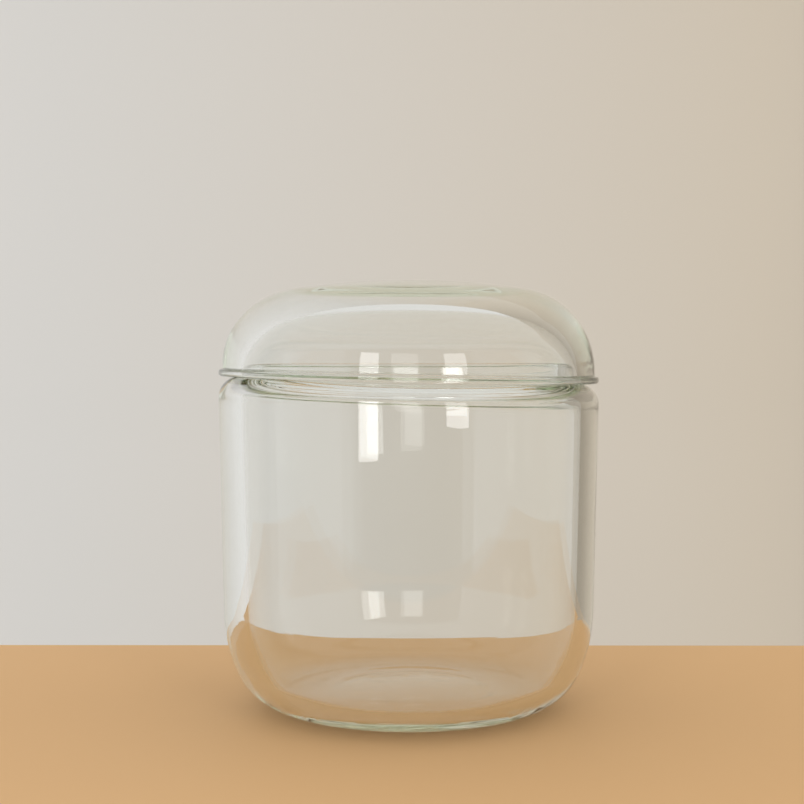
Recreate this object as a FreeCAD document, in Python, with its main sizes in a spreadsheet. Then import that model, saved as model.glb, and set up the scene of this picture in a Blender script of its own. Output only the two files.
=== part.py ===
import FreeCAD, Part
import math
import os
import types
import Sketcher

# Glass storage jar with a loose domed lid.  Lengths in mm, angles in degrees.
# +Z is up; the origin is the centre of the foot, on the surface the jar stands on.
# Each piece is one closed outline of glass in the XZ plane, turned once round Z.

SIZES = [
    # body of the jar, outside
    ("body_radius", 72.1, "radius where the wall meets the shoulder, the widest place"),
    ("wall_lean", 1.2, "how far the wall leans outward on its way up"),
    ("shoulder_height", 125.4, "foot to the flat top of the shoulder"),
    ("shoulder_round", 8.0, "outer radius of the shoulder"),
    ("upper_heel_round", 57.9, "large radius that starts the turn under the wall"),
    ("middle_heel_round", 23.8, "tight radius that carries most of the turn"),
    ("middle_heel_sweep", 53.1, "part of the turn made by the tight radius"),
    ("lower_heel_round", 70.0, "wide radius that runs down to the foot ring"),
    ("lower_heel_sweep", 12.0, "part of the turn made by the wide radius"),
    ("foot_ring_width", 3.0, "flat ring the jar stands on"),
    ("push_up", 1.0, "rise of the underside and of the inside floor at the centre"),
    # body of the jar, inside
    ("wall_thickness", 8.0, "glass of the wall and of the upper heel"),
    ("floor_thickness", 7.4, "glass between the inside floor and the foot ring"),
    ("inner_heel_round", 16.1, "tight radius of the turn from the inside wall to the floor"),
    ("inner_floor_round", 62.5, "wide radius that runs down to the inside floor"),
    ("shoulder_thickness", 6.0, "glass of the shoulder"),
    ("inner_shoulder_round", 2.0, "radius inside the shoulder"),
    # neck collar
    ("seat_land", 0.4, "flat of the shoulder between its round and the lid's inside"),
    ("neck_thickness", 6.3, "glass of the neck"),
    ("neck_rise", 6.5, "shoulder top to the rim"),
    ("rim_round", 1.2, "fire polished edges of the rim"),
    ("neck_root_round", 0.8, "radius where the neck leaves the shoulder"),
    ("throat_land", 0.35, "flat under the shoulder between the throat's radius and the inner shoulder's"),
    # lid
    ("neck_clearance", 1.1, "gap all round between the neck and the inside of the lid"),
    ("lid_top_thickness", 8.5, "glass of the crown of the lid"),
    ("flange_inset", 0.1, "how far the lip of the lid stays inside the widest radius of the jar"),
    ("flange_overhang", 1.5, "how far the lip of the lid stands out from its side"),
    ("flange_thickness", 2.6, "height of the lip"),
    ("flange_edge_round", 0.9, "radius on both outer edges of the lip"),
    ("flange_root_round", 0.5, "radius where the side leaves the lip"),
    ("side_rise", 1.6, "lip top to where the side starts to turn in"),
    ("lid_corner_round", 30.2, "outer radius between side and crown"),
    ("lid_inner_corner_round", 25.0, "inner radius between side and crown"),
    ("crown_round", 288.0, "outer radius of the flat dome"),
    ("lid_edge_round", 0.3, "radius on the inner edge of the lid's seat"),
]
s = types.SimpleNamespace(**{name: value for name, value, meaning in SIZES})

doc = FreeCAD.newDocument("storage_jar")
sheet = doc.addObject("Spreadsheet::Sheet", "sizes")
for row, (name, value, meaning) in enumerate(SIZES, start=1):
    sheet.set("A%d" % row, name)
    sheet.set("B%d" % row, str(value))
    sheet.set("C%d" % row, meaning)
    sheet.setAlias("B%d" % row, name)
doc.recompute()

# Places on a curve, the sketch's origin and its two axes.
START, END, CENTRE = 1, 2, 3
ORIGIN = (-1, START)
ACROSS, UPRIGHT = -1, -2
# An arc that bulges out of the glass is walked from its start, a hollow one from its end.
BULGE = (START, END)
HOLLOW = (END, START)


def flat_list(places):
    """Curves and (curve, place) pairs as one plain list, the way a constraint takes them."""
    out = []
    for place in places:
        out += list(place) if isinstance(place, tuple) else [place]
    return out


class Outline:
    """A closed outline walked once round the glass, with every size bound to the sheet."""

    def __init__(self, name):
        self.body = doc.addObject("PartDesign::Body", name)
        self.body.Label = name
        plane = [f for f in self.body.Origin.OriginFeatures if f.Role == "XZ_Plane"][0]
        self.sketch = self.body.newObject("Sketcher::SketchObject", name + "_outline")
        self.sketch.AttachmentSupport = (plane, [""])
        self.sketch.MapMode = "FlatFace"

    def line(self, start, end):
        edge = Part.LineSegment(FreeCAD.Vector(*start, 0), FreeCAD.Vector(*end, 0))
        curve = self.sketch.addGeometry(edge, False)
        return types.SimpleNamespace(curve=curve, way_in=(curve, START), way_out=(curve, END))

    def arc(self, centre, radius, low, high, way=BULGE):
        circle = Part.Circle(FreeCAD.Vector(*centre, 0), FreeCAD.Vector(0, 0, 1), radius)
        edge = Part.ArcOfCircle(circle, math.radians(low), math.radians(high))
        curve = self.sketch.addGeometry(edge, False)
        return types.SimpleNamespace(curve=curve, way_in=(curve, way[0]), way_out=(curve, way[1]),
                                     centre=(curve, CENTRE))

    def fix(self, kind, *places):
        """A rule that has no size, such as upright, level or on an axis."""
        self.sketch.addConstraint(Sketcher.Constraint(kind, *flat_list(places)))

    def smooth(self, *chain):
        """Each curve of the chain runs into the next without a corner."""
        for first, second in zip(chain[:-1], chain[1:]):
            self.fix("Tangent", first.way_out, second.way_in)

    def drawn(self, kind, places):
        """The size as it is drawn, for a rule that is about to be bound to the sheet."""
        if kind in ("DistanceX", "DistanceY"):
            span = self.sketch.getPoint(*places[1]) - self.sketch.getPoint(*places[0])
            return span.x if kind == "DistanceX" else span.y
        edge = self.sketch.Geometry[places[0]]
        if kind == "Radius":
            return edge.Radius
        if isinstance(edge, Part.ArcOfCircle):
            return edge.LastParameter - edge.FirstParameter
        return math.atan2(edge.EndPoint.y - edge.StartPoint.y, edge.EndPoint.x - edge.StartPoint.x)

    def size(self, name, kind, formula, *places):
        """A size between places that follows the sheet."""
        rule = Sketcher.Constraint(kind, *flat_list(places), self.drawn(kind, places))
        self.sketch.renameConstraint(self.sketch.addConstraint(rule), name)
        self.sketch.setExpression("Constraints." + name, formula)

    def turn(self):
        """One turn of the outline round the upright axis makes the piece."""
        turned = self.body.newObject("PartDesign::Revolution", self.body.Name + "_turned")
        turned.Profile = self.sketch
        turned.ReferenceAxis = (self.sketch, ["V_Axis"])
        turned.Angle = 360
        return self.body


def on_circle(centre, radius, angle):
    turn = math.radians(angle)
    return (centre[0] + radius * math.cos(turn), centre[1] + radius * math.sin(turn))


def tangent_centre_height(big, small, across):
    """Height of a small circle's centre above a big one's, when the small one touches it from inside."""
    return math.sqrt((big - small) ** 2 - across ** 2)


def direction(start, end):
    """Angle of the way from one point to another."""
    return math.degrees(math.atan2(end[1] - start[1], end[0] - start[0]))


def meeting_point(hub, reach, other, other_reach):
    """Point at given distances from two hubs, on the right of the way from the first to the other."""
    apart = math.dist(hub, other)
    turn = math.acos((reach ** 2 + apart ** 2 - other_reach ** 2) / (2 * reach * apart))
    return on_circle(hub, reach, direction(hub, other) - math.degrees(turn))


# ---- jar: foot, wall, shoulder and neck, as the outline is walked --------------------------

# The heel is worked out from the foot ring outward, then moved so that the wall meets body_radius.
shoulder_hub = (s.body_radius - s.shoulder_round * math.cos(math.radians(s.wall_lean)),
                s.shoulder_height - s.shoulder_round)
wall_top = on_circle(shoulder_hub, s.shoulder_round, -s.wall_lean)
lower_turn = s.lower_heel_sweep - 90
middle_turn = lower_turn + s.middle_heel_sweep


def heel_hubs(ring_edge):
    """Centres of the three heel radii when the foot ring ends at ring_edge."""
    lower = (ring_edge, s.lower_heel_round)
    middle = on_circle(lower, s.lower_heel_round - s.middle_heel_round, lower_turn)
    upper = on_circle(middle, s.middle_heel_round - s.upper_heel_round, middle_turn)
    return lower, middle, upper


wall_foot = on_circle(heel_hubs(0.0)[2], s.upper_heel_round, -s.wall_lean)
wall_run = (wall_top[1] - wall_foot[1]) * math.tan(math.radians(s.wall_lean))
ring_outer = wall_top[0] - wall_run - wall_foot[0]
ring_inner = ring_outer - s.foot_ring_width
lower_hub, middle_hub, upper_hub = heel_hubs(ring_outer)
wall_foot = on_circle(upper_hub, s.upper_heel_round, -s.wall_lean)
push_radius = (ring_inner ** 2 + s.push_up ** 2) / (2 * s.push_up)
push_turn = 90 - math.degrees(math.asin(ring_inner / push_radius))

neck_outer = s.body_radius - s.shoulder_round - s.seat_land - s.neck_clearance
neck_inner = neck_outer - s.neck_thickness
rim_height = s.shoulder_height + s.neck_rise
root_hub = (neck_outer + s.neck_root_round, s.shoulder_height + s.neck_root_round)
underside = s.shoulder_height - s.shoulder_thickness

# Inside, the wall and the upper heel keep the outer curve's centre, and the floor ends over the ring's edge.
inner_upper_heel = s.upper_heel_round - s.wall_thickness
inner_floor_hub = (ring_outer, s.floor_thickness + s.inner_floor_round)
inner_heel_hub = meeting_point(upper_hub, inner_upper_heel - s.inner_heel_round,
                               inner_floor_hub, s.inner_floor_round - s.inner_heel_round)
inner_upper_turn = direction(upper_hub, inner_heel_hub)
inner_floor_turn = direction(inner_floor_hub, inner_heel_hub)
dome_radius = (ring_outer ** 2 + s.push_up ** 2) / (2 * s.push_up)
dome_turn = 90 - math.degrees(math.asin(ring_outer / dome_radius))
dome_top = s.floor_thickness + s.push_up
inner_foot = on_circle(upper_hub, inner_upper_heel, -s.wall_lean)
inner_hub_height = underside - s.inner_shoulder_round
inner_slant = math.tan(math.radians(s.wall_lean))
inner_hub_across = (inner_foot[0] + (inner_hub_height - inner_foot[1]) * inner_slant
                    - s.inner_shoulder_round / math.cos(math.radians(s.wall_lean)))
inner_hub = (inner_hub_across, inner_hub_height)
throat_round = inner_hub_across - s.throat_land - neck_inner

jar = Outline("jar")
push = jar.arc((0, s.push_up - push_radius), push_radius, push_turn, 90, HOLLOW)
ring = jar.line((ring_inner, 0), (ring_outer, 0))
lower = jar.arc(lower_hub, s.lower_heel_round, -90, lower_turn)
middle = jar.arc(middle_hub, s.middle_heel_round, lower_turn, middle_turn)
upper = jar.arc(upper_hub, s.upper_heel_round, middle_turn, -s.wall_lean)
wall = jar.line(wall_foot, wall_top)
shoulder = jar.arc(shoulder_hub, s.shoulder_round, -s.wall_lean, 90)
ledge = jar.line((shoulder_hub[0], s.shoulder_height), (root_hub[0], s.shoulder_height))
root = jar.arc(root_hub, s.neck_root_round, 180, 270, HOLLOW)
neck = jar.line((neck_outer, root_hub[1]), (neck_outer, rim_height - s.rim_round))
rim_out = jar.arc((neck_outer - s.rim_round, rim_height - s.rim_round), s.rim_round, 0, 90)
rim = jar.line((neck_outer - s.rim_round, rim_height), (neck_inner + s.rim_round, rim_height))
rim_in = jar.arc((neck_inner + s.rim_round, rim_height - s.rim_round), s.rim_round, 90, 180)
bore = jar.line((neck_inner, rim_height - s.rim_round), (neck_inner, underside + throat_round))
throat = jar.arc((neck_inner + throat_round, underside + throat_round), throat_round, 180, 270)
roof = jar.line((neck_inner + throat_round, underside), (inner_hub[0], underside))
inner_shoulder = jar.arc(inner_hub, s.inner_shoulder_round, -s.wall_lean, 90, HOLLOW)
inner_wall = jar.line(on_circle(inner_hub, s.inner_shoulder_round, -s.wall_lean), inner_foot)
inner_upper = jar.arc(upper_hub, inner_upper_heel, inner_upper_turn, -s.wall_lean, HOLLOW)
inner_heel = jar.arc(inner_heel_hub, s.inner_heel_round, inner_floor_turn, inner_upper_turn, HOLLOW)
inner_floor = jar.arc(inner_floor_hub, s.inner_floor_round, -90, inner_floor_turn, HOLLOW)
dome = jar.arc((0, dome_top - dome_radius), dome_radius, dome_turn, 90)
axis = jar.line((0, dome_top), (0, s.push_up))

jar.smooth(ring, lower, middle, upper, wall, shoulder, ledge, root, neck, rim_out, rim, rim_in, bore,
           throat, roof, inner_shoulder, inner_wall, inner_upper, inner_heel, inner_floor)
jar.fix("Coincident", push.way_out, ring.way_in)
jar.fix("Coincident", inner_floor.way_out, dome.way_in)
jar.fix("Coincident", dome.way_out, axis.way_in)
jar.fix("Coincident", axis.way_out, push.way_in)
jar.fix("Coincident", upper.centre, inner_upper.centre)
for place in (push.centre, push.way_in, dome.centre, dome.way_out):
    jar.fix("PointOnObject", place, UPRIGHT)
for place in (ring.way_in, ring.way_out):
    jar.fix("PointOnObject", place, ACROSS)
jar.fix("Vertical", ring.way_out, dome.way_in)
jar.fix("Vertical", dome.way_in, inner_floor.centre)
for level in (ledge, rim, roof):
    jar.fix("Horizontal", level.curve)
for upright in (neck, bore):
    jar.fix("Vertical", upright.curve)
jar.fix("Parallel", wall.curve, inner_wall.curve)

neck_size = "sizes.body_radius - sizes.shoulder_round - sizes.seat_land - sizes.neck_clearance"
jar.size("push_up", "DistanceY", "sizes.push_up", ORIGIN, push.way_in)
jar.size("foot_ring_width", "DistanceX", "sizes.foot_ring_width", ring.way_in, ring.way_out)
jar.size("lower_heel_round", "Radius", "sizes.lower_heel_round", lower.curve)
jar.size("lower_heel_sweep", "Angle", "sizes.lower_heel_sweep * 1 deg", lower.curve)
jar.size("middle_heel_round", "Radius", "sizes.middle_heel_round", middle.curve)
jar.size("middle_heel_sweep", "Angle", "sizes.middle_heel_sweep * 1 deg", middle.curve)
jar.size("upper_heel_round", "Radius", "sizes.upper_heel_round", upper.curve)
jar.size("wall_slope", "Angle", "(90 - sizes.wall_lean) * 1 deg", wall.curve)
jar.size("body_radius", "DistanceX", "sizes.body_radius", ORIGIN, wall.way_out)
jar.size("shoulder_height", "DistanceY", "sizes.shoulder_height", ORIGIN, ledge.way_in)
jar.size("shoulder_round", "Radius", "sizes.shoulder_round", shoulder.curve)
jar.size("neck_root_round", "Radius", "sizes.neck_root_round", root.curve)
jar.size("neck_outer", "DistanceX", neck_size, ORIGIN, neck.way_in)
jar.size("neck_rise", "DistanceY", "sizes.neck_rise", ledge.way_out, rim.way_in)
jar.size("rim_outer_round", "Radius", "sizes.rim_round", rim_out.curve)
jar.size("rim_inner_round", "Radius", "sizes.rim_round", rim_in.curve)
jar.size("neck_thickness", "DistanceX", "sizes.neck_thickness", bore.way_in, neck.way_out)
jar.size("throat_land", "DistanceX", "sizes.throat_land", roof.way_in, roof.way_out)
jar.size("shoulder_thickness", "DistanceY", "sizes.shoulder_thickness", roof.way_in, ledge.way_in)
jar.size("inner_shoulder_round", "Radius", "sizes.inner_shoulder_round", inner_shoulder.curve)
jar.size("inner_upper_heel", "Radius", "sizes.upper_heel_round - sizes.wall_thickness", inner_upper.curve)
jar.size("inner_heel_round", "Radius", "sizes.inner_heel_round", inner_heel.curve)
jar.size("inner_floor_round", "Radius", "sizes.inner_floor_round", inner_floor.curve)
jar.size("floor_thickness", "DistanceY", "sizes.floor_thickness", ORIGIN, dome.way_in)
jar.size("floor_rise", "DistanceY", "sizes.push_up", dome.way_in, dome.way_out)
jar_body = jar.turn()

# ---- lid: seat, lip, side and crown, drawn from its seat up --------------------------------

lid_inner = neck_outer + s.neck_clearance
flange_radius = s.body_radius - s.flange_inset
side_outer = flange_radius - s.flange_overhang
lip_hub = flange_radius - s.flange_edge_round
spring = s.flange_thickness + s.side_rise
corner_hub = (side_outer - s.lid_corner_round, spring)
crown_drop = tangent_centre_height(s.crown_round, s.lid_corner_round, corner_hub[0])
crown_hub = (0, spring - crown_drop)
lid_height = crown_hub[1] + s.crown_round
corner_turn = math.degrees(math.atan2(crown_drop, corner_hub[0]))
inner_crown = s.crown_round - s.lid_top_thickness
inner_across = lid_inner - s.lid_inner_corner_round
inner_drop = tangent_centre_height(inner_crown, s.lid_inner_corner_round, inner_across)
inner_corner_hub = (inner_across, crown_hub[1] + inner_drop)
inner_turn = math.degrees(math.atan2(inner_drop, inner_across))

lid = Outline("lid")
seat = lid.line((lid_inner + s.lid_edge_round, 0), (lip_hub, 0))
lip_low = lid.arc((lip_hub, s.flange_edge_round), s.flange_edge_round, -90, 0)
lip_shelf = s.flange_thickness - s.flange_edge_round
lip = lid.line((flange_radius, s.flange_edge_round), (flange_radius, lip_shelf))
lip_high = lid.arc((lip_hub, lip_shelf), s.flange_edge_round, 0, 90)
lip_top = lid.line((lip_hub, s.flange_thickness), (side_outer + s.flange_root_round, s.flange_thickness))
lip_root = lid.arc((side_outer + s.flange_root_round, s.flange_thickness + s.flange_root_round),
                   s.flange_root_round, 180, 270, HOLLOW)
side = lid.line((side_outer, s.flange_thickness + s.flange_root_round), (side_outer, spring))
corner = lid.arc(corner_hub, s.lid_corner_round, 0, corner_turn)
crown = lid.arc(crown_hub, s.crown_round, corner_turn, 90)
lid_axis = lid.line((0, lid_height), (0, lid_height - s.lid_top_thickness))
under_crown = lid.arc(crown_hub, inner_crown, inner_turn, 90, HOLLOW)
under_corner = lid.arc(inner_corner_hub, s.lid_inner_corner_round, 0, inner_turn, HOLLOW)
inner_side = lid.line((lid_inner, inner_corner_hub[1]), (lid_inner, s.lid_edge_round))
seat_edge = lid.arc((lid_inner + s.lid_edge_round, s.lid_edge_round), s.lid_edge_round, 180, 270)

lid.smooth(seat, lip_low, lip, lip_high, lip_top, lip_root, side, corner, crown)
lid.smooth(under_crown, under_corner, inner_side, seat_edge, seat)
lid.fix("Coincident", crown.way_out, lid_axis.way_in)
lid.fix("Coincident", lid_axis.way_out, under_crown.way_in)
lid.fix("Coincident", crown.centre, under_crown.centre)
for place in (crown.centre, crown.way_out, under_crown.way_in):
    lid.fix("PointOnObject", place, UPRIGHT)
for place in (seat.way_in, seat.way_out):
    lid.fix("PointOnObject", place, ACROSS)
lid.fix("Horizontal", lip_top.curve)
for upright in (lip, side, inner_side):
    lid.fix("Vertical", upright.curve)

lid.size("lid_inner", "DistanceX", neck_size + " + sizes.neck_clearance", ORIGIN, inner_side.way_in)
lid.size("flange_radius", "DistanceX", "sizes.body_radius - sizes.flange_inset", ORIGIN, lip.way_in)
lid.size("flange_overhang", "DistanceX", "sizes.flange_overhang", side.way_in, lip.way_in)
lid.size("flange_thickness", "DistanceY", "sizes.flange_thickness", ORIGIN, lip_top.way_in)
lid.size("lip_low_round", "Radius", "sizes.flange_edge_round", lip_low.curve)
lid.size("lip_high_round", "Radius", "sizes.flange_edge_round", lip_high.curve)
lid.size("flange_root_round", "Radius", "sizes.flange_root_round", lip_root.curve)
lid.size("side_rise", "DistanceY", "sizes.side_rise", lip_top.way_in, side.way_out)
lid.size("lid_corner_round", "Radius", "sizes.lid_corner_round", corner.curve)
lid.size("crown_round", "Radius", "sizes.crown_round", crown.curve)
lid.size("under_crown_round", "Radius", "sizes.crown_round - sizes.lid_top_thickness", under_crown.curve)
lid.size("inner_corner_round", "Radius", "sizes.lid_inner_corner_round", under_corner.curve)
lid.size("lid_edge_round", "Radius", "sizes.lid_edge_round", seat_edge.curve)
lid_body = lid.turn()
# The lid's seat lies face to face on the flat of the shoulder.
lid_body.setExpression("Placement.Base.z", "sizes.shoulder_height")

# ---- check every piece, then write it -------------------------------------------------------

doc.recompute()
for thing in doc.Objects:
    if "Invalid" in thing.State or "Error" in thing.State:
        raise RuntimeError("%s did not build: %s" % (thing.Label, thing.State))
for outline in (jar, lid):
    if not outline.sketch.FullyConstrained:
        raise RuntimeError("%s still has a free size" % outline.sketch.Label)
for piece in (jar_body, lid_body):
    shape = piece.Shape
    if shape.isNull() or not shape.isValid() or len(shape.Solids) != 1:
        raise RuntimeError("%s is not one sound solid" % piece.Label)

os.makedirs("parts", exist_ok=True)
for piece in (jar_body, lid_body):
    piece.Shape.exportStep("parts/%s.step" % piece.Label)
    box = piece.Shape.BoundBox
    print("%s: %.1f cm3, radius %.2f, from %.2f to %.2f mm high"
          % (piece.Label, piece.Shape.Volume / 1000, box.XMax, box.ZMin, box.ZMax))
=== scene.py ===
# %% [markdown]
# # A blown glass storage jar
# The real object is two pieces of thick, clear glass: a round jar with a soft heel and a short
# neck collar, and a loose lid like a low dome with a thin lip.  Glass shows hardly any colour of
# its own.  What the eye reads is where the outside and the inside of the wall bend the light, so
# this lesson is mostly about two good outlines, a believable glass, and the light around it.

# %% Load the measured frame
import math
import bpy
import bmesh
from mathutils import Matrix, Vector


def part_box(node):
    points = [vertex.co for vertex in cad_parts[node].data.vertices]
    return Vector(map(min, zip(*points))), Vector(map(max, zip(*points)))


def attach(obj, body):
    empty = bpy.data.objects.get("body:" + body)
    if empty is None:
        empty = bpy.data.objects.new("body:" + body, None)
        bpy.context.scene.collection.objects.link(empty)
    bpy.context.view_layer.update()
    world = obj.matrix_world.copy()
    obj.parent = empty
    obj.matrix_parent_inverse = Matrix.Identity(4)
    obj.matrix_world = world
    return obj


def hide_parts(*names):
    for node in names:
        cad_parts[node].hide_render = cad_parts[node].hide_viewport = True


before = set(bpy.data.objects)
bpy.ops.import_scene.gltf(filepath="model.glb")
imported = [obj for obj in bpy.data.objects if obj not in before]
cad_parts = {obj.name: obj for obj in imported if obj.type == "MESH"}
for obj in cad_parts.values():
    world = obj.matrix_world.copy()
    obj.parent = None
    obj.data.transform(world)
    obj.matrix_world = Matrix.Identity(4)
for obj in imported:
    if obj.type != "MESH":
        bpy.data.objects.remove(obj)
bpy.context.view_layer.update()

jar_low, jar_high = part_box("jar")
lid_low, lid_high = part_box("lid")
MM = 0.001
print("jar %.1f mm high, whole %.1f mm high" % (jar_high[2] / MM, lid_high[2] / MM))

# %% [markdown]
# ## Drawing an outline
# A turned piece is one outline swept round an axis.  It could be drawn by hand as a curve, but
# glass forgives nothing: a small kink in the outline is a bright line in the render.  So the
# outline is built from true arcs and straight runs that meet without a corner, and every point
# also keeps the direction that points out of the glass.

# %% An outline that remembers which way is out of the glass
MERGE = 1e-4        # mm, points nearer than this are one
SHORT_STEP = 0.25   # mm


class Outline:
    """Points across and up in mm, from the axis round the glass and back to the axis."""

    def __init__(self):
        self.points = []
        self.outward = []
        self.zone = []

    def add(self, point, out, zone):
        if self.points and math.dist(self.points[-1], point) < MERGE:
            return
        self.points.append(point)
        self.outward.append(out)
        self.zone.append(zone)

    def arc(self, hub, radius, first, last, zone, steps):
        """An arc from one angle to the other.  Falling angles are the hollow side of the glass."""
        side = 1 if last > first else -1
        for i in range(steps + 1):
            turn = math.radians(first + (last - first) * i / steps)
            out = (side * math.cos(turn), side * math.sin(turn))
            across = hub[0] + radius * math.cos(turn)
            up = hub[1] + radius * math.sin(turn)
            self.add((across, up), out, zone)

    def run(self, start, end, zone, steps):
        """A straight run.  Its end steps are short, so that the shading stays in the arcs."""
        length = math.dist(start, end)
        out = ((end[1] - start[1]) / length, -(end[0] - start[0]) / length)
        short = min(SHORT_STEP / length, 0.5 / (steps + 1))
        shares = [0, short] + [i / steps for i in range(1, steps)] + [1 - short, 1]
        for share in shares:
            across = start[0] + (end[0] - start[0]) * share
            up = start[1] + (end[1] - start[1]) * share
            self.add((across, up), out, zone)


def on_circle(hub, radius, angle):
    turn = math.radians(angle)
    return (hub[0] + radius * math.cos(turn), hub[1] + radius * math.sin(turn))


def direction(start, end):
    return math.degrees(math.atan2(end[1] - start[1], end[0] - start[0]))


def meeting_point(hub, reach, other, other_reach):
    """The point at given distances from two hubs, on the right of the way between them."""
    apart = math.dist(hub, other)
    turn = math.acos((reach ** 2 + apart ** 2 - other_reach ** 2) / (2 * reach * apart))
    return on_circle(hub, reach, direction(hub, other) - math.degrees(turn))


# %% [markdown]
# ## The jar's outline
# The jar leans outward a little as it rises and turns under in three radii, wide, tight, wide, down
# to a foot ring.  The underside is pushed up in the middle, as on any blown base.  Inside, the wall
# keeps the same centre as the outside, and the floor is slightly thinner than the wall.

# %% Jar: sizes of the outside
body_radius = min(jar_high[:2]) / MM
shoulder_top = lid_low[2] / MM
rim_top = jar_high[2] / MM
wall_lean = 1.2
shoulder_round = 8.0
seat_land, neck_clearance = 0.4, 1.1
neck_glass = 6.3
upper_heel, middle_heel, lower_heel = 57.9, 23.8, 70.0
middle_sweep, lower_sweep = 53.1, 12.0
foot_ring = 3.0
push_up = 1.0
neck_outer = body_radius - shoulder_round - seat_land - neck_clearance
neck_inner = neck_outer - neck_glass

lower_turn = lower_sweep - 90
middle_turn = lower_turn + middle_sweep
shoulder_across = body_radius - shoulder_round * math.cos(math.radians(wall_lean))
shoulder_hub = (shoulder_across, shoulder_top - shoulder_round)
wall_top = on_circle(shoulder_hub, shoulder_round, -wall_lean)


def heel_hubs(ring_edge):
    """Centres of the three radii of the heel, from the foot ring upwards."""
    lower = (ring_edge, lower_heel)
    middle = on_circle(lower, lower_heel - middle_heel, lower_turn)
    return lower, middle, on_circle(middle, middle_heel - upper_heel, middle_turn)


wall_foot = on_circle(heel_hubs(0.0)[2], upper_heel, -wall_lean)
slope = math.tan(math.radians(wall_lean))
ring_edge = wall_top[0] - (wall_top[1] - wall_foot[1]) * slope - wall_foot[0]
lower_hub, middle_hub, upper_hub = heel_hubs(ring_edge)
wall_foot = on_circle(upper_hub, upper_heel, -wall_lean)
print("foot ring %.1f mm across, wall starts %.1f mm up" % (2 * ring_edge, wall_foot[1]))

# %% Jar: sizes of the inside
wall_glass = 8.0
floor_glass = 7.4
shoulder_glass = 6.0
inner_heel, inner_floor = 16.1, 62.5
underside = shoulder_top - shoulder_glass
inner_shoulder = 2.0
throat_land = 0.35
inner_upper = upper_heel - wall_glass
floor_hub = (ring_edge, floor_glass + inner_floor)
heel_hub = meeting_point(upper_hub, inner_upper - inner_heel, floor_hub, inner_floor - inner_heel)
inner_foot = on_circle(upper_hub, inner_upper, -wall_lean)
inner_hub_up = underside - inner_shoulder
inner_hub = (inner_foot[0] + (inner_hub_up - inner_foot[1]) * slope
             - inner_shoulder / math.cos(math.radians(wall_lean)), inner_hub_up)
throat = inner_hub[0] - throat_land - neck_inner
print("inside %.1f mm across at the shoulder" % (2 * (inner_hub[0] + inner_shoulder)))

# %% Jar: walk the outline from the underside round to the inside floor
rim_round, root_round = 1.2, 0.8
ring_inner = ring_edge - foot_ring
push_radius = (ring_inner ** 2 + push_up ** 2) / (2 * push_up)
push_turn = 90 - math.degrees(math.asin(ring_inner / push_radius))
dome_radius = (ring_edge ** 2 + push_up ** 2) / (2 * push_up)
dome_turn = 90 - math.degrees(math.asin(ring_edge / dome_radius))

jar_line = Outline()
jar_line.arc((0, push_up - push_radius), push_radius, 90, push_turn, "foot", 12)
jar_line.run((ring_inner, 0), (ring_edge, 0), "foot", 2)
jar_line.arc(lower_hub, lower_heel, -90, lower_turn, "outside", 8)
jar_line.arc(middle_hub, middle_heel, lower_turn, middle_turn, "outside", 24)
jar_line.arc(upper_hub, upper_heel, middle_turn, -wall_lean, "outside", 12)
jar_line.run(wall_foot, wall_top, "outside", 24)
jar_line.arc(shoulder_hub, shoulder_round, -wall_lean, 90, "shoulder", 22)
jar_line.run((shoulder_hub[0], shoulder_top), (neck_outer + root_round, shoulder_top),
             "shoulder", 2)
jar_line.arc((neck_outer + root_round, shoulder_top + root_round), root_round, 270, 180,
             "neck", 6)
jar_line.run((neck_outer, shoulder_top + root_round), (neck_outer, rim_top - rim_round),
             "neck", 3)
jar_line.arc((neck_outer - rim_round, rim_top - rim_round), rim_round, 0, 90, "neck", 8)
jar_line.run((neck_outer - rim_round, rim_top), (neck_inner + rim_round, rim_top), "neck", 3)
jar_line.arc((neck_inner + rim_round, rim_top - rim_round), rim_round, 90, 180, "neck", 8)
jar_line.run((neck_inner, rim_top - rim_round), (neck_inner, underside + throat), "neck", 4)
jar_line.arc((neck_inner + throat, underside + throat), throat, 180, 270, "throat", 10)
jar_line.run((neck_inner + throat, underside), (inner_hub[0], underside), "throat", 2)
jar_line.arc(inner_hub, inner_shoulder, 90, -wall_lean, "throat", 16)
jar_line.run(on_circle(inner_hub, inner_shoulder, -wall_lean), inner_foot, "inside", 24)
inner_turn, floor_turn = direction(upper_hub, heel_hub), direction(floor_hub, heel_hub)
jar_line.arc(upper_hub, inner_upper, -wall_lean, inner_turn, "inside", 12)
jar_line.arc(heel_hub, inner_heel, inner_turn, floor_turn, "inside", 22)
jar_line.arc(floor_hub, inner_floor, floor_turn, -90, "inside", 8)
jar_line.arc((0, floor_glass + push_up - dome_radius), dome_radius, dome_turn, 90, "floor", 14)
print("jar outline: %d points" % len(jar_line.points))

# %% [markdown]
# ## The lid's outline
# The lid is walked the same way round: along the hollow underside from the axis out to the seat,
# round the thin lip, then up the outside and over the crown.  It is drawn from its seat up and
# lifted onto the jar's shoulder at the end, because its sizes are easiest to think of that way.

# %% Lid: sizes
lid_inner = neck_outer + neck_clearance
lip_radius = min(lid_high[:2]) / MM
lip_glass, lip_edge, lip_root = 2.6, 0.9, 0.5
lip_overhang, side_rise = 1.5, 1.6
side_outer = lip_radius - lip_overhang
corner_round, inner_corner = 30.2, 25.0
crown_round, crown_glass = 292.0, 8.5
seat_edge = 0.3


def tangent_height(large, small, across):
    """How far a small round's centre lies above that of a large one that it runs into."""
    return math.sqrt((large - small) ** 2 - across ** 2)


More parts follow.
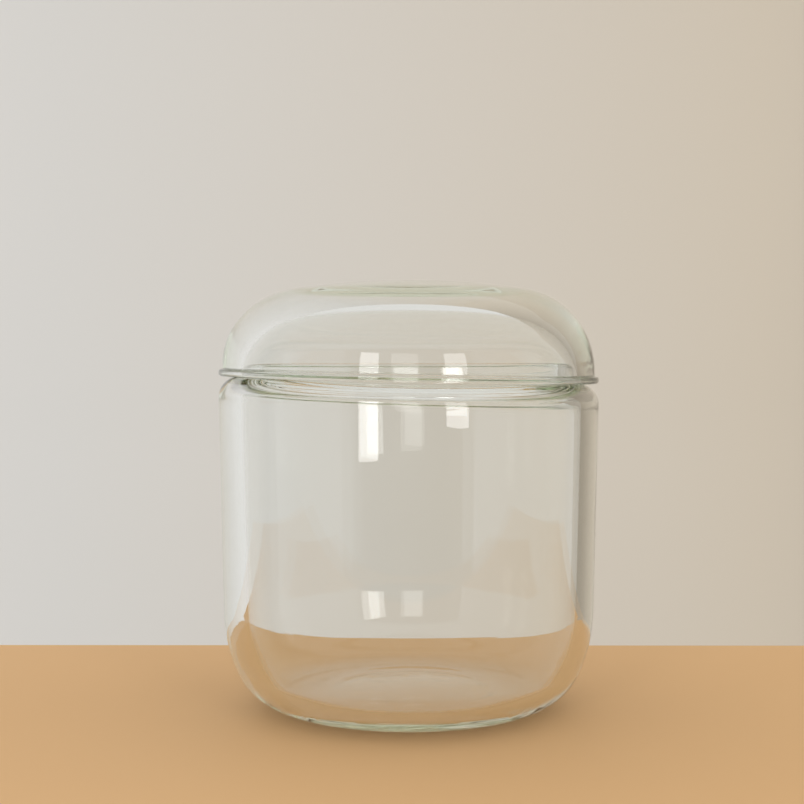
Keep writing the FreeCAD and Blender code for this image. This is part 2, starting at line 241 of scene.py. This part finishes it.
corner_hub = (side_outer - corner_round, lip_glass + side_rise)
crown_hub = (0, corner_hub[1] - tangent_height(crown_round, corner_round, corner_hub[0]))
inner_crown = crown_round - crown_glass
under_across = lid_inner - inner_corner
under_hub = (under_across, crown_hub[1] + tangent_height(inner_crown, inner_corner, under_across))
corner_turn, under_turn = direction(crown_hub, corner_hub), direction(crown_hub, under_hub)
print("lid %.1f mm high" % (crown_hub[1] + crown_round))

# %% Lid: walk the outline
lid_line = Outline()
lid_line.arc(crown_hub, inner_crown, 90, under_turn, "inside", 14)
lid_line.arc(under_hub, inner_corner, under_turn, 0, "inside", 30)
lid_line.run((lid_inner, under_hub[1]), (lid_inner, seat_edge), "skirt", 4)
lid_line.arc((lid_inner + seat_edge, seat_edge), seat_edge, 180, 270, "side", 8)
lid_line.run((lid_inner + seat_edge, 0), (lip_radius - lip_edge, 0), "side", 3)
lid_line.arc((lip_radius - lip_edge, lip_edge), lip_edge, -90, 0, "side", 8)
lid_line.run((lip_radius, lip_edge), (lip_radius, lip_glass - lip_edge), "side", 2)
lid_line.arc((lip_radius - lip_edge, lip_glass - lip_edge), lip_edge, 0, 90, "side", 8)
lid_line.arc((side_outer + lip_root, lip_glass + lip_root), lip_root, 270, 180, "side", 5)
lid_line.run((side_outer, lip_glass + lip_root), (side_outer, corner_hub[1]), "side", 2)
lid_line.arc(corner_hub, corner_round, 0, corner_turn, "outside", 40)
lid_line.arc(crown_hub, crown_round, corner_turn, 90, "outside", 14)
print("lid outline: %d points" % len(lid_line.points))

# %% [markdown]
# ## From outline to an object that Geometry Nodes can read
# Each outline becomes a small mesh of points with no faces.  Two attributes travel with it: the
# direction out of the glass, and how much a point may wander.  Blown glass is truest where it was
# ground or tooled, at the seat, lip and neck, and least true on the free inner surface.

# %% Outline meshes with their attributes
WANDER = {"foot": 0.0, "outside": 0.3, "shoulder": 0.0, "neck": 0.0, "throat": 0.0,
          "inside": 1.0, "floor": 0.6, "skirt": 0.5, "side": 0.0}
SOFTEN = 4          # outline points to each side
SEAT_AIR = 0.05     # mm of air under the lid, so that two glass faces never lie in each other
OFF_CENTRE = {"throat": 0.5, "inside": 1.0, "floor": 1.0, "skirt": 0.6}


def softened(values, reach):
    """Running average along the outline, so that the unevenness fades in and out."""
    count = len(values)
    found = []
    for i in range(count):
        near = values[max(0, i - reach):min(count, i + reach + 1)]
        found.append(sum(near) / len(near))
    return found


def outline_object(name, line, lift):
    mesh = bpy.data.meshes.new(name)
    mesh.from_pydata([(r * MM, 0, (z + lift) * MM) for r, z in line.points], [], [])
    out = mesh.attributes.new("out", "FLOAT_VECTOR", "POINT")
    out.data.foreach_set("vector", [c for r, z in line.outward for c in (r, 0, z)])
    wander = mesh.attributes.new("wander", "FLOAT", "POINT")
    wander.data.foreach_set("value", softened([WANDER[zone] for zone in line.zone], SOFTEN))
    aside = mesh.attributes.new("aside", "FLOAT", "POINT")
    offsets = [OFF_CENTRE.get(zone, 0.0) for zone in line.zone]
    aside.data.foreach_set("value", softened(offsets, SOFTEN))
    return bpy.data.objects.new(name, mesh)


jar_outline = outline_object("jar_outline", jar_line, 0)
lid_outline = outline_object("lid_outline", lid_line, shoulder_top + SEAT_AIR)
for one in (jar_outline, lid_outline):
    print("%s: %d points with attributes" % (one.name, len(one.data.vertices)))

# %% [markdown]
# ## A node tree that turns glass
# The tree makes one flat grid with a column for every step round the axis and a row for every
# outline point.  It then reads the outline point of each row and sends the grid point round the
# axis.  Curve to Mesh would do nearly the same, but here the unevenness of hand work can go in
# before the shape closes: long upright ripples, a wall thicker on one side, and a leaning shoulder.

# %% Small helpers for building a node tree
class Tree:
    """Adds nodes to a node group and joins them, one call for each step of the recipe."""

    def __init__(self, group):
        self.group = group
        self.nodes = group.nodes

    def feed(self, socket, value):
        if isinstance(value, bpy.types.NodeSocket):
            self.group.links.new(value, socket)
        else:
            socket.default_value = value

    def add(self, kind, settings=None, **inputs):
        node = self.nodes.new(kind)
        for key, value in (settings or {}).items():
            setattr(node, key, value)
        for key, value in inputs.items():
            self.feed(node.inputs[key.replace("_", " ")], value)
        return node

    def math(self, what, *values):
        node = self.nodes.new("ShaderNodeMath")
        node.operation = what
        for socket, value in zip(node.inputs, values):
            self.feed(socket, value)
        return node.outputs[0]


def put(interface, name, kind, default=None, direction="INPUT"):
    socket = interface.new_socket(name, in_out=direction, socket_type=kind)
    if default is not None:
        socket.default_value = default


# %% The tree's named inputs
turning = Tree(bpy.data.node_groups.new("turned_glass", "GeometryNodeTree"))
face = turning.group.interface
put(face, "Geometry", "NodeSocketGeometry")
put(face, "Outline", "NodeSocketObject")
put(face, "Steps Around", "NodeSocketInt", 240)
put(face, "Rows", "NodeSocketInt", 100)
put(face, "Ripple", "NodeSocketFloat", 0.0)
put(face, "Ripple Scale", "NodeSocketFloat", 20.0)
put(face, "Off Centre", "NodeSocketFloat", 0.0)
put(face, "Lean", "NodeSocketFloat", 0.0)
put(face, "Lean From", "NodeSocketFloat", 0.0)
put(face, "Lean Full", "NodeSocketFloat", 1.0)
put(face, "Lean Ease", "NodeSocketFloat", 2.0)
put(face, "Lean Gone", "NodeSocketFloat", 3.0)
put(face, "Seed", "NodeSocketInt", 1)
put(face, "Glass", "NodeSocketMaterial")
put(face, "Geometry", "NodeSocketGeometry", direction="OUTPUT")
given = turning.add("NodeGroupInput").outputs
print("turning tree: %d named inputs" % (len(given) - 1))

# %% Which outline row and which step round the axis each grid point has
around = turning.math("ADD", given["Steps Around"], 1)
grid = turning.add("GeometryNodeMeshGrid", Vertices_X=around, Vertices_Y=given["Rows"])
index = turning.add("GeometryNodeInputIndex").outputs[0]
middle_of_index = turning.math("ADD", index, 0.5)
column = turning.math("FLOOR", turning.math("DIVIDE", middle_of_index, given["Rows"]))
row = turning.math("SUBTRACT", index, turning.math("MULTIPLY", column, given["Rows"]))
share_of_turn = turning.math("DIVIDE", column, given["Steps Around"])
angle = turning.math("MULTIPLY", share_of_turn, math.tau)
outline = turning.add("GeometryNodeObjectInfo", Object=given["Outline"]).outputs["Geometry"]


def read_outline(kind, value):
    """The value that the outline has on this grid point's row."""
    return turning.add("GeometryNodeSampleIndex", {"data_type": kind, "domain": "POINT"},
                       Geometry=outline, Value=value, Index=row).outputs["Value"]


def named(kind, name):
    reader = turning.add("GeometryNodeInputNamedAttribute", {"data_type": kind}, Name=name)
    return reader.outputs["Attribute"]


def in_parts(vector):
    return turning.add("ShaderNodeSeparateXYZ", Vector=vector).outputs


position = turning.add("GeometryNodeInputPosition").outputs[0]
place = in_parts(read_outline("FLOAT_VECTOR", position))
out = in_parts(read_outline("FLOAT_VECTOR", named("FLOAT_VECTOR", "out")))
wander = read_outline("FLOAT", named("FLOAT", "wander"))
aside = read_outline("FLOAT", named("FLOAT", "aside"))

# %% Upright ripples in the glass, pushed only into its thickness
RIPPLE_STRETCH = 0.3    # the pattern runs this share as fast upwards as it does across

cosine, sine = turning.math("COSINE", angle), turning.math("SINE", angle)
spot = turning.add("ShaderNodeCombineXYZ", X=turning.math("MULTIPLY", place["X"], cosine),
                   Y=turning.math("MULTIPLY", place["X"], sine),
                   Z=turning.math("MULTIPLY", place["Z"], RIPPLE_STRETCH)).outputs[0]
noise = turning.add("ShaderNodeTexNoise", {"noise_dimensions": "4D"}, Vector=spot,
                    W=given["Seed"], Scale=given["Ripple Scale"], Detail=1.0,
                    Roughness=0.4).outputs[0]
depth = turning.math("MULTIPLY", turning.math("MULTIPLY", noise, wander), given["Ripple"])
across = turning.math("SUBTRACT", place["X"], turning.math("MULTIPLY", out["X"], depth))
up = turning.math("SUBTRACT", place["Z"], turning.math("MULTIPLY", out["Z"], depth))

# %% Round the axis, a little off centre inside, and leaning towards the top
slide = turning.math("MULTIPLY", given["Off Centre"], aside)
x = turning.math("ADD", turning.math("MULTIPLY", across, cosine), slide)
y = turning.math("MULTIPLY", across, sine)


def fade(low, high):
    """0 under one height and 1 over another."""
    return turning.add("ShaderNodeMapRange", {"interpolation_type": "SMOOTHSTEP"}, Value=up,
                       From_Min=given[low], From_Max=given[high]).outputs[0]


share = turning.math("SUBTRACT", fade("Lean From", "Lean Full"), fade("Lean Ease", "Lean Gone"))
tip = turning.math("MULTIPLY", turning.math("MULTIPLY", given["Lean"], share), x)
leaning = turning.math("SUBTRACT", up, tip)
point = turning.add("ShaderNodeCombineXYZ", X=x, Y=y, Z=leaning).outputs[0]

# %% Close the seam and the poles, and give the piece its finish
SEAM = 1e-6     # m


def next_step(kind, geometry, **inputs):
    return turning.add(kind, Geometry=geometry, **inputs).outputs[0]


turned = next_step("GeometryNodeSetPosition", grid.outputs["Mesh"], Position=point)
closed = next_step("GeometryNodeMergeByDistance", turned, Distance=SEAM)
smooth = next_step("GeometryNodeSetShadeSmooth", closed, Shade_Smooth=True)
finished = next_step("GeometryNodeSetMaterial", smooth, Material=given["Glass"])
real = next_step("GeometryNodeRealizeInstances", finished)
turning.add("NodeGroupOutput", Geometry=real)
print("turning tree: %d nodes" % len(turning.nodes))

# %% [markdown]
# ## Clear glass with a breath of green
# Plain soda-lime glass is colourless through a thin wall and green along a thick edge, so the
# colour belongs in the volume, as absorption, and not on the surface.  The surface still has life:
# long faint cords from the gather, which show as upright streaks, and the softest of smears.

# %% Glass finish
GREEN_DEPTH = (0.72, 0.84, 0.58, 1)     # what a long way through the glass leaves of white light
GLASS_TINT = 4.0                        # how fast it gets there
CORD_HEIGHT = 0.0006                    # m
BENDS_LIGHT = 1.5


def blown_glass(name, cords, seed):
    material = bpy.data.materials.new(name)
    material.use_nodes = True
    tree = Tree(material.node_tree)
    tree.nodes.clear()
    where = tree.add("ShaderNodeTexCoord").outputs["Object"]
    long_way = tree.add("ShaderNodeMapping", Vector=where, Scale=(1, 1, 0.12),
                        Location=(0.3 * seed, 0, 0)).outputs[0]
    cord = tree.add("ShaderNodeTexNoise", Vector=long_way, Scale=55.0, Detail=3.0,
                    Roughness=0.55).outputs[0]
    smear = tree.add("ShaderNodeTexNoise", Vector=where, Scale=34.0, Detail=4.0,
                     Roughness=0.6).outputs[0]
    rough = tree.add("ShaderNodeMapRange", Value=smear, From_Min=0.45, From_Max=0.75,
                     To_Min=0.0, To_Max=0.025).outputs[0]
    shade = tree.add("ShaderNodeMix", {"data_type": "RGBA"}, Factor=cord)
    tree.feed(shade.inputs[6], (0.975, 0.985, 0.98, 1))
    tree.feed(shade.inputs[7], (1.0, 1.0, 1.0, 1))
    bump = tree.add("ShaderNodeBump", Height=cord, Strength=cords,
                    Distance=CORD_HEIGHT).outputs[0]
    glass = tree.add("ShaderNodeBsdfPrincipled", Roughness=rough, Normal=bump, IOR=BENDS_LIGHT)
    tree.feed(glass.inputs["Base Color"], shade.outputs[2])
    tree.feed(glass.inputs["Transmission Weight"], 1.0)
    inside = tree.add("ShaderNodeVolumeAbsorption", Color=GREEN_DEPTH, Density=GLASS_TINT)
    tree.add("ShaderNodeOutputMaterial", Surface=glass.outputs[0], Volume=inside.outputs[0])
    print("%s: %d nodes" % (name, len(tree.nodes)))
    return material


jar_glass = blown_glass("clear_jar_glass", 0.08, 1)
lid_glass = blown_glass("clear_lid_glass", 0.05, 2)

# %% [markdown]
# ## Turning the two pieces
# Each piece is an empty mesh with the turning tree on it.  The tree's result is taken as a plain
# mesh and the modifier goes, so that what is measured is exactly what is seen.

# %% Run the tree and keep its result
def turn_glass(name, outline, glass, sizes):
    blank = bpy.data.objects.new(name + "_blank", bpy.data.meshes.new(name + "_blank"))
    bpy.context.collection.objects.link(blank)
    modifier = blank.modifiers.new("turned", "NODES")
    modifier.node_group = turning.group
    wanted = dict(sizes, Outline=outline, Glass=glass, Rows=len(outline.data.vertices))
    for item in turning.group.interface.items_tree:
        if item.in_out == "INPUT" and item.name in wanted:
            modifier[item.identifier] = wanted[item.name]
    ready = blank.evaluated_get(bpy.context.evaluated_depsgraph_get())
    mesh = bpy.data.meshes.new_from_object(ready)
    mesh.name = name
    blank.modifiers.clear()
    bpy.data.objects.remove(blank)
    shell = bmesh.new()
    shell.from_mesh(mesh)
    bmesh.ops.recalc_face_normals(shell, faces=shell.faces)
    open_edges = sum(not edge.is_manifold for edge in shell.edges)
    volume = shell.calc_volume(signed=True)
    shell.to_mesh(mesh)
    shell.free()
    piece = bpy.data.objects.new(name, mesh)
    bpy.context.collection.objects.link(piece)
    print("%s: %d faces, %d open edges, %.1f cm3"
          % (name, len(mesh.polygons), open_edges, volume / MM ** 3 / 1000))
    return piece


SHARED = {"Steps Around": 240, "Lean": 0.021, "Lean Full": 0.1254}

jar = turn_glass("blown_jar", jar_outline, jar_glass, dict(SHARED, **{
    "Ripple": 0.0003, "Ripple Scale": 26.0, "Off Centre": 0.0009,
    "Lean From": 0.092, "Lean Ease": 0.1254, "Lean Gone": 0.1319, "Seed": 3}))
lid = turn_glass("blown_lid", lid_outline, lid_glass, dict(SHARED, **{
    "Ripple": 0.0002, "Ripple Scale": 22.0, "Off Centre": 0.0003,
    "Lean From": 0.100, "Lean Ease": 0.1275, "Lean Gone": 0.160, "Seed": 8}))

for piece, node in ((jar, "jar"), (lid, "lid")):
    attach(piece, "root")
    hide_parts(node)

# %% [markdown]
# ## Floor and backdrop
# Glass shows what stands round it, so its stage is part of its looks.  A sand-coloured board
# ends a little behind the jar, as a shelf would, and a paper wall hangs far behind it with painted
# light on it: pale on the left as if lit from that side, darkening in painted shade to brown on
# the right, so that both edges of the glass stand out.  A darker card hangs far behind the camera,
# because a front wall with nothing dark to mirror looks milky.
# Lamp light that has to bend through glass to reach the board is mostly lost in a path tracer, and
# the board seen through the jar turns grey.  So rays that came through glass see the board partly
# glowing with its own colour, while its shadow stays.  None of these sheets belongs to the object.

# %% Stage pieces
def plain_paint(name, colour, roughness):
    material = bpy.data.materials.new(name)
    material.use_nodes = True
    shader = material.node_tree.nodes["Principled BSDF"]
    shader.inputs["Base Color"].default_value = (*colour, 1)
    shader.inputs["Roughness"].default_value = roughness
    return material


def sheet(name, corners, material):
    mesh = bpy.data.meshes.new(name)
    mesh.from_pydata(corners, [], [(0, 1, 2, 3)])
    mesh.materials.append(material)
    board = bpy.data.objects.new(name, mesh)
    bpy.context.collection.objects.link(board)


def upright(name, half_width, along, low, high, material):
    """An upright sheet that faces the jar, from behind it or, with along below 0, from in front."""
    left = -half_width if along > 0 else half_width
    sheet(name, [(left, along, low), (-left, along, low),
                 (-left, along, high), (left, along, high)], material)


floor = -0.0001
board_half, board_front, board_back = 0.6, -0.32, 0.124
sand = (0.86, 0.53, 0.25)
glow_share, glow_strength = 0.75, 0.58
board = plain_paint("sand_board", sand, 0.7)
lit = Tree(board.node_tree)
came_through = lit.add("ShaderNodeLightPath").outputs["Is Transmission Ray"]
through_glass = lit.math("MULTIPLY", came_through, glow_share)
glow = lit.add("ShaderNodeEmission", Color=(*sand, 1), Strength=glow_strength).outputs[0]
surface = lit.add("ShaderNodeMixShader", Fac=through_glass)
lit.feed(surface.inputs[1], lit.nodes["Principled BSDF"].outputs[0])
lit.feed(surface.inputs[2], glow)
lit.feed(lit.nodes["Material Output"].inputs["Surface"], surface.outputs[0])
sheet("floor_board", [(-board_half, board_front, floor), (board_half, board_front, floor),
                      (board_half, board_back, floor), (-board_half, board_back, floor)], board)
print("board ends %.0f mm behind the jar's axis" % (board_back / MM))

# %% Paper behind the jar graded with painted light, and a darker card behind the camera
paper = plain_paint("paper_painted_light", (0.74, 0.70, 0.63), 0.9)
painted_light_wash = Tree(paper.node_tree)
on_paper = painted_light_wash.add("ShaderNodeTexCoord").outputs["Object"]
across_paper = painted_light_wash.add("ShaderNodeSeparateXYZ", Vector=on_paper).outputs["X"]
side = painted_light_wash.add("ShaderNodeMapRange", Value=across_paper, From_Min=-1.4, From_Max=1.4).outputs[0]
# The ramp paints light onto the paper: near white on the left as if lit from there, then painted
# shade down to brown on the right.
shade = painted_light_wash.add("ShaderNodeValToRGB", Fac=side)
stops = shade.color_ramp.elements
stops[0].color, stops[1].color = (0.97, 0.97, 0.98, 1), (0.42, 0.37, 0.30, 1)
for spot_along, colour in ((0.34, (0.79, 0.78, 0.76, 1)), (0.66, (0.73, 0.65, 0.54, 1))):
    stops.new(spot_along).color = colour
painted_light_wash.feed(painted_light_wash.nodes["Principled BSDF"].inputs["Base Color"], shade.outputs[0])
upright("back_paper", 2.2, 1.4, -1.0, 2.0, paper)
upright("front_card", 2.4, -3.0, -1.2, 1.8, plain_paint("dusk_card", (0.46, 0.41, 0.34), 0.9))

# %% [markdown]
# ## Soft light
# Even light from all round keeps the glass bright at its edges.  Upright soft boxes stand behind
# the camera, close to each other like the panes of a window, because what tells the eye that glass
# is glass is the small bright panes mirrored in its front.  The other faces of the glass, inside
# and at the back, mirror every lamp again, and so many images are a clutter.  So the left box and
# the sill under the right one show only in the outer face.

# %% World and soft boxes
world = bpy.data.worlds.new("soft_room")
bpy.context.scene.world = world
world.use_nodes = True
room = world.node_tree.nodes["Background"].inputs
room["Color"].default_value = (0.82, 0.81, 0.79, 1)
room["Strength"].default_value = 0.92


def soft_box(name, turn, distance, low, high, width, glow, through):
    """An upright lamp that faces the jar.  turn is its angle round the jar, 0 behind the camera.
    through says whether it also shows in light that has passed through glass."""
    lamp = bpy.data.lights.new(name, "AREA")
    lamp.shape = "RECTANGLE"
    lamp.size, lamp.size_y = width, high - low
    lamp.energy = glow * math.pi * width * (high - low)
    holder = bpy.data.objects.new(name, lamp)
    side = math.radians(turn)
    holder.location = (distance * math.sin(side), -distance * math.cos(side), (low + high) / 2)
    holder.rotation_euler = (math.pi / 2, 0, side)
    holder.visible_camera = False
    holder.visible_transmission = through
    bpy.context.collection.objects.link(holder)
    print("%s: %.2f m wide, from %.2f to %.2f m high" % (name, width, low, high))


AWAY = 2.2      # m from the jar's axis
soft_box("pane_left", -23, AWAY, -0.14, 1.0, 0.44, 6.0, False)
soft_box("pane_middle", -2, AWAY, 0.05, 1.0, 0.60, 1.8, True)
soft_box("pane_right", 28, AWAY, 0.03, 1.0, 0.50, 4.5, True)
soft_box("pane_sill", 28, AWAY, -0.09, 0.03, 0.50, 6.0, False)

# %% [markdown]
# ## Camera
# A long lens just above the height of the collar, looking slightly down, keeps the jar's sides
# straight and shows the lip and the collar almost edge on.

# %% Camera
lens = bpy.data.cameras.new("camera")
lens.sensor_width = 36
lens.lens = 70.2
camera = bpy.data.objects.new("camera", lens)
camera.location = (0, -0.598, 0.1366)
tilt_down, turn_left = 1.90, 0.241
camera.rotation_euler = (math.radians(90 - tilt_down), 0, math.radians(turn_left))
bpy.context.collection.objects.link(camera)
bpy.context.scene.camera = camera
bpy.context.scene.view_settings.view_transform = "Standard"
print("camera %.0f mm from the axis, %.1f mm lens" % (-camera.location.y / MM, lens.lens))

# %% [markdown]
# ## How far light may travel in the glass
# Light that enters the thick shoulder or the dome's corner is turned back inside the glass many
# times before it gets out.  With the usual dozen bounces such light is given up as black, and the
# shoulder gets dark smudges that real glass doesn't have, so it is followed for longer.

# %% Light bounces
paths = bpy.context.scene.cycles
paths.max_bounces, paths.transmission_bounces, paths.glossy_bounces = 48, 48, 24
print("light is followed for %d bounces" % paths.max_bounces)
